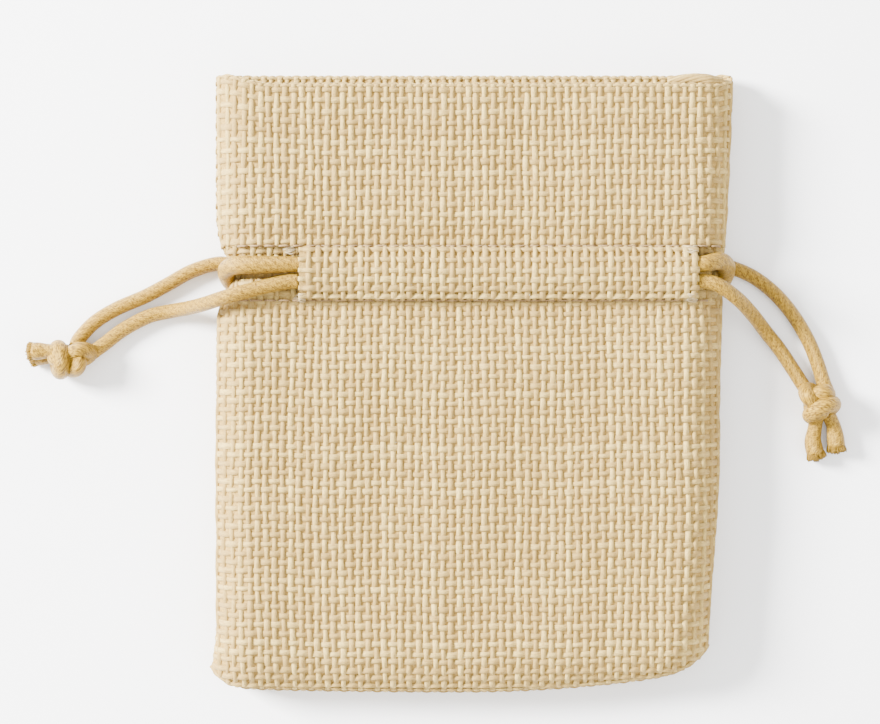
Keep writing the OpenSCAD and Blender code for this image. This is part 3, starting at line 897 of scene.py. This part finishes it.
class POUCH_OT_collar_cloth(bpy.types.Operator):
    """Weaves the casings, the headers and the facings"""
    bl_idname = "pouch.collar_cloth"
    bl_label = "Collar cloth"

    def execute(self, context):
        settings = context.scene.pouch_cloth
        materials = cloth_materials(settings)
        for side, span in (("left", (-42.0, 0.0)), ("right", (0.0, 42.0))):
            riding = ("pouch", side + "_collar")
            mouth = -LEFT_MOUTH if side == "left" else RIGHT_MOUTH
            edge = (mouth, 0.0) if side == "left" else (0.0, mouth)
            main = side == "left"
            casing = woven(side + "_front_casing_weave", span, (LOWER_STITCH_Y, UPPER_STITCH_Y),
                           casing_height, 1,
                           settings, 23, materials, edge=edge, grow=0.25)
            outer = (-42.0, mouth) if side == "left" else (mouth, 42.0)
            zone = woven(side + "_front_side_zone", outer, (LOWER_STITCH_Y, UPPER_STITCH_Y),
                         zone_height, 1,
                         settings, 24, materials)
            header = woven(side + "_front_header_weave", span, (UPPER_STITCH_Y, RIM_Y),
                           front_height, 1, settings, 25, materials, pitch=1.55, lift=1.0)
            header = join(header.name, [header, rim_turn(
                side + "_front_rim", span, RIM_Y, front_height, 1, settings, 51, materials,
                lift=1.0), edge_yarns(side + "_header_edge", side, UPPER_STITCH_Y, RIM_Y - 0.3,
                                      materials[0])])
            back_casing = woven(side + "_back_casing_weave", span,
                                (LOWER_STITCH_Y, UPPER_STITCH_Y), back_height, -1, settings, 26,
                                materials)
            back_header = woven(side + "_back_header_weave", span, (UPPER_STITCH_Y, BACK_RIM_Y),
                                back_height, -1, settings, 27, materials, pitch=1.55)
            back_header = join(back_header.name, [back_header, rim_turn(
                side + "_back_rim", span, BACK_RIM_Y, back_height, -1, settings, 52,
                materials)])
            facing = woven(side + "_front_facing_weave", span, (LOWER_STITCH_Y - 1, RIM_Y - 0.4),
                           lambda x, y: front_height(x, y) - 0.9 - 1.5 * bump(y, CASING_Y, 4.2),
                           -1, settings, 28, materials, pitch=2.1, lift=1.0)
            back_facing = woven(side + "_back_facing_weave", span,
                                (LOWER_STITCH_Y - 1, BACK_RIM_Y - 0.4),
                                lambda x, y: back_height(x, y) + 0.9 + 2.3 * bump(y, CASING_Y, 4.2)
                                * pillow(np.minimum(x - left_x(y), right_x(y) - x), 6.0),
                                1, settings, 29, materials, pitch=2.1)
            fasten(casing, "linen_cloth", riding, *(("front_casing",) if main else ()))
            zone = join(zone.name, [zone, edge_yarns(side + "_zone_edge", side, LOWER_STITCH_Y,
                                                     UPPER_STITCH_Y, materials[0])])
            fasten(zone, "linen_cloth", riding)
            fasten(header, "linen_cloth", riding, *(("front_header",) if main else ()))
            fasten(back_casing, "linen_cloth", riding, *(("back_casing",) if main else ()))
            fasten(back_header, "linen_cloth", riding, *(("back_header",) if main else ()))
            fasten(facing, "lining_cloth", riding, *(("front_facing",) if main else ()))
            fasten(back_facing, "lining_cloth", riding, *(("back_facing",) if main else ()))
        return {"FINISHED"}


class POUCH_OT_stitching(bpy.types.Operator):
    """Sews the rows of stitches and the bar tacks beside the mouths"""
    bl_idname = "pouch.stitching"
    bl_label = "Stitching"

    def execute(self, context):
        settings = context.scene.pouch_cloth
        thread = thread_material("stitch_thread", (0.30, 0.19, 0.08), (0.10, 0.05, 0.012))
        tack_thread = thread_material("tack_thread", (0.52, 0.41, 0.22), (0.30, 0.19, 0.07))
        pitch = 2.2
        for face, height, sign in (("front", front_height, 1), ("back", back_height, -1)):
            for row, y in (("upper", UPPER_STITCH_Y), ("lower", LOWER_STITCH_Y)):
                for side in ("left", "right"):
                    lines = []
                    count = int(40 / pitch)
                    for k in range(count):
                        a = (k + 0.12) * pitch * (-1 if side == "left" else 1)
                        b = (k + 0.88) * pitch * (-1 if side == "left" else 1)
                        if not left_x(y) + 0.8 < b < right_x(y) - 0.8:
                            continue
                        t = np.linspace(0, 1, 9)
                        x = a + (b - a) * t
                        z = height(x, y) + sign * (0.46 - 0.75 * (2 * t - 1) ** 4)
                        z = np.maximum(z, 0.19)
                        lines.append(np.stack([x, np.full(9, y), z], 1) * MM)
                    lines = np.array(lines)
                    half = np.full(lines.shape[:2], 0.00017)
                    rng = np.random.default_rng(31)
                    stitches = lay_tubes(f"{side}_{face}_{row}_stitch_row", lines, half, half, 6,
                                         rng.random(len(lines)) * 0.4)
                    stitches.data.materials.append(thread)
                    nodes = (f"{face}_{row}_stitching",) if side == "left" else ()
                    fasten(stitches, "sewing_thread", ("pouch", side + "_collar"), *nodes)
        rng = np.random.default_rng(33)
        for side, places in (("left", ((-28.8, 20.9), (-27.3, 13.3))),
                             ("right", ((34.4, 20.9), (34.4, 13.3)))):
            lines = []
            for cx, cy in places:
                for k in range(16):
                    y = cy + (k - 7.5) * 0.075 + rng.normal(0, 0.04)
                    t = np.linspace(0, 1, 9)
                    x = cx + (t - 0.5) * rng.uniform(1.7, 2.3) + rng.normal(0, 0.1)
                    z = tack_ground(x, y) + 0.34 - 0.6 * (2 * t - 1) ** 4
                    z = z + rng.uniform(-0.05, 0.12)
                    lines.append(np.stack([x, y + 0.12 * np.sin(6 * t + k), z], 1) * MM)
            lines = np.array(lines)
            half = np.full(lines.shape[:2], 0.0001)
            tacks = lay_tubes(side + "_bar_tack_thread", lines, half, half, 5,
                              rng.random(len(lines)) * 0.3)
            tacks.data.materials.append(tack_thread)
            fasten(tacks, "sewing_thread", ("pouch", side + "_collar"), side + "_bar_tacks")
        return {"FINISHED"}


class POUCH_OT_seams(bpy.types.Operator):
    """Makes the seam allowances inside the side edges, with their overlock thread"""
    bl_idname = "pouch.seams"
    bl_label = "Seams"

    def execute(self, context):
        settings = context.scene.pouch_cloth
        materials = cloth_materials(settings)
        thread = thread_material("overlock_thread", (0.50, 0.38, 0.19), (0.28, 0.17, 0.06))
        for side in ("left", "right"):
            sign = -1 if side == "left" else 1
            border = left_x if side == "left" else right_x
            for name, body, node, low, high, inset, width in (
                    ("side_seam", "side", "side_seam", FOOT_Y + 10, 20.0, 1.3, 3.4),
                    ("header_seam", "collar", "header_seam", 22.5, 46.0, 1.4, 3.2)):
                ys = np.linspace(low, high, 90)
                lines = []
                rng = np.random.default_rng(41)
                for k in range(int(width / 0.42)):
                    x = border(ys) - sign * (inset + 0.42 * k)
                    z = np.full(ys.shape, 4.55) + 0.12 * np.sin(ys * 2.3 + k * math.pi)
                    lines.append(np.stack([x, ys, z], 1) * MM)
                lines = np.array(lines)
                strip = lay_tubes(f"{side}_{name}_cloth", lines,
                                  np.full(lines.shape[:2], 0.00026),
                                  np.full(lines.shape[:2], 0.0002), 6, rng.random(len(lines)))
                strip.data.materials.append(materials[0])
                if name == "header_seam" and side == "right":
                    strip = join(strip.name, [strip, self.roll(materials[0])])
                fasten(strip, "lining_cloth", f"{side}_{body}", f"{side}_{node}")
            lines = []
            for k, y in enumerate(np.arange(FOOT_Y + 10.5, 19.6, 0.9)):
                t = np.linspace(0, 1, 9)
                x = float(border(y)) - sign * (4.6 + 1.0 * np.sin(math.pi * t))
                lines.append(np.stack([x, y + 0.9 * t, 4.55 + 0.3 * np.cos(2 * math.pi * t)], 1) * MM)
            lines = np.array(lines)
            half = np.full(lines.shape[:2], 0.00013)
            rng = np.random.default_rng(43)
            overlock = lay_tubes(f"{side}_overlock_thread", lines, half, half, 5,
                                 rng.random(len(lines)) * 0.3)
            overlock.data.materials.append(thread)
            fasten(overlock, "sewing_thread", side + "_side", side + "_overlock")
        return {"FINISHED"}

    def roll(self, material):
        """The bulky end of the seam allowance, rolled inside the mouth's right corner"""
        rng = np.random.default_rng(53)
        t = np.linspace(0, 1, 24)
        lines = []
        for k in range(9):
            turn = 2 * math.pi * k / 9
            y = 47.5 + 0.55 * np.sin(turn + 3 * t) + 0.5 * np.sin(math.pi * t)
            z = 7.5 + 0.5 * np.cos(turn + 3 * t) - 1.2 * ease((t - 0.7) / 0.3)
            lines.append(np.stack([30.9 + 8.9 * t, y, z], 1) * MM)
        lines = np.array(lines)
        half = np.full(lines.shape[:2], 0.00036) * (0.6 + 0.4 * np.sin(math.pi * t))[None]
        roll = lay_tubes("rolled_allowance", lines, half, half, 6, rng.random(len(lines)))
        roll.data.materials.append(material)
        return roll


class POUCH_PT_panel(bpy.types.Panel):
    """Lists the pouch's operators and settings"""
    bl_idname = "POUCH_PT_panel"
    bl_label = "Gift pouch"
    bl_space_type = "VIEW_3D"
    bl_region_type = "UI"
    bl_category = "Pouch"

    def draw(self, context):
        for group in (context.scene.pouch_cloth, context.scene.pouch_cord,
                      context.scene.pouch_stage):
            for key in group.__annotations__:
                self.layout.prop(group, key)
        for operator in OPERATORS:
            self.layout.operator(operator.bl_idname)


OPERATORS = (POUCH_OT_stage, POUCH_OT_cords, POUCH_OT_body_cloth, POUCH_OT_collar_cloth,
             POUCH_OT_stitching, POUCH_OT_seams)
CLASSES = (PouchCloth, PouchCord, PouchStage, *OPERATORS, POUCH_PT_panel)


def register():
    for cls in CLASSES:
        bpy.utils.register_class(cls)
    bpy.types.Scene.pouch_cloth = PointerProperty(type=PouchCloth)
    bpy.types.Scene.pouch_cord = PointerProperty(type=PouchCord)
    bpy.types.Scene.pouch_stage = PointerProperty(type=PouchStage)


def unregister():
    del bpy.types.Scene.pouch_cloth, bpy.types.Scene.pouch_cord, bpy.types.Scene.pouch_stage
    for cls in reversed(CLASSES):
        bpy.utils.unregister_class(cls)


def main():
    register()
    bpy.ops.pouch.stage()
    bpy.ops.pouch.cords()
    bpy.ops.pouch.body_cloth()
    bpy.ops.pouch.collar_cloth()
    bpy.ops.pouch.stitching()
    bpy.ops.pouch.seams()
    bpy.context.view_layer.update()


if __name__ == "__main__":
    main()
